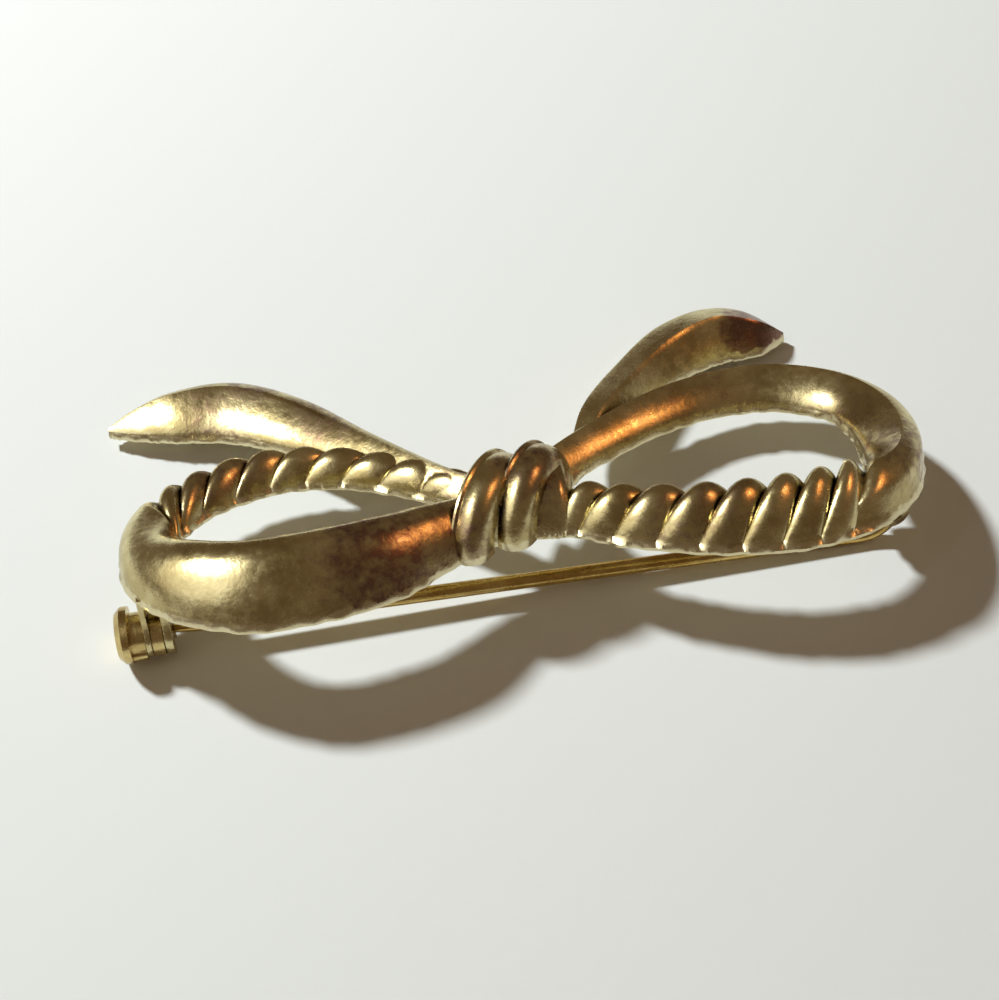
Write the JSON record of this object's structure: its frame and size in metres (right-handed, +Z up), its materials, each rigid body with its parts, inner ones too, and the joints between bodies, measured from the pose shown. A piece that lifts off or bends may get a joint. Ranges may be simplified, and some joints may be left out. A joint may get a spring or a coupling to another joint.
{
  "type": "bow brooch",
  "caption": "Cast ribbon bow brooch with twisted rope loops, wrapped knot and pointed tails, on a pin stem with a riveted hinge and a turning safety catch.",
  "frame": {"origin": "on the surface that the brooch lies on, under the middle of its outline", "axes": "+X along the bow towards the hinge, +Y from the front edge towards the two tails, +Z up from the surface"},
  "size_m": [0.052, 0.0224, 0.0111],
  "materials": {
    "bow_metal": "cast metal with a worn antique gold tone, tarnished brown in its hollows, with a pale rubbed rim",
    "pin_metal": "drawn brass wire, dull gold",
    "catch_metal": "turned and stamped brass, brighter gold",
    "rivet_metal": "darkened brass"
  },
  "bodies": {
    "bow": {"bow": "bow_metal", "hinge_rivet": "rivet_metal"},
    "pin": {"pin_stem": "pin_metal"},
    "roller": {"catch_roller": "catch_metal"}
  },
  "joints": [
    {"name": "pin_hinge", "type": "hinge", "parent": "bow", "child": "pin", "pos_m": [0.02294, -0.00682, 0.00306], "axis": [-0.0142, -0.9646, 0.2632], "range_deg": [0, 100]},
    {"name": "catch_turn", "type": "hinge", "parent": "bow", "child": "roller", "pos_m": [-0.02343, -0.00648, 0.00178], "axis": [0.9998, -0.0168, -0.0078], "range_deg": [0, 90]}
  ]
}
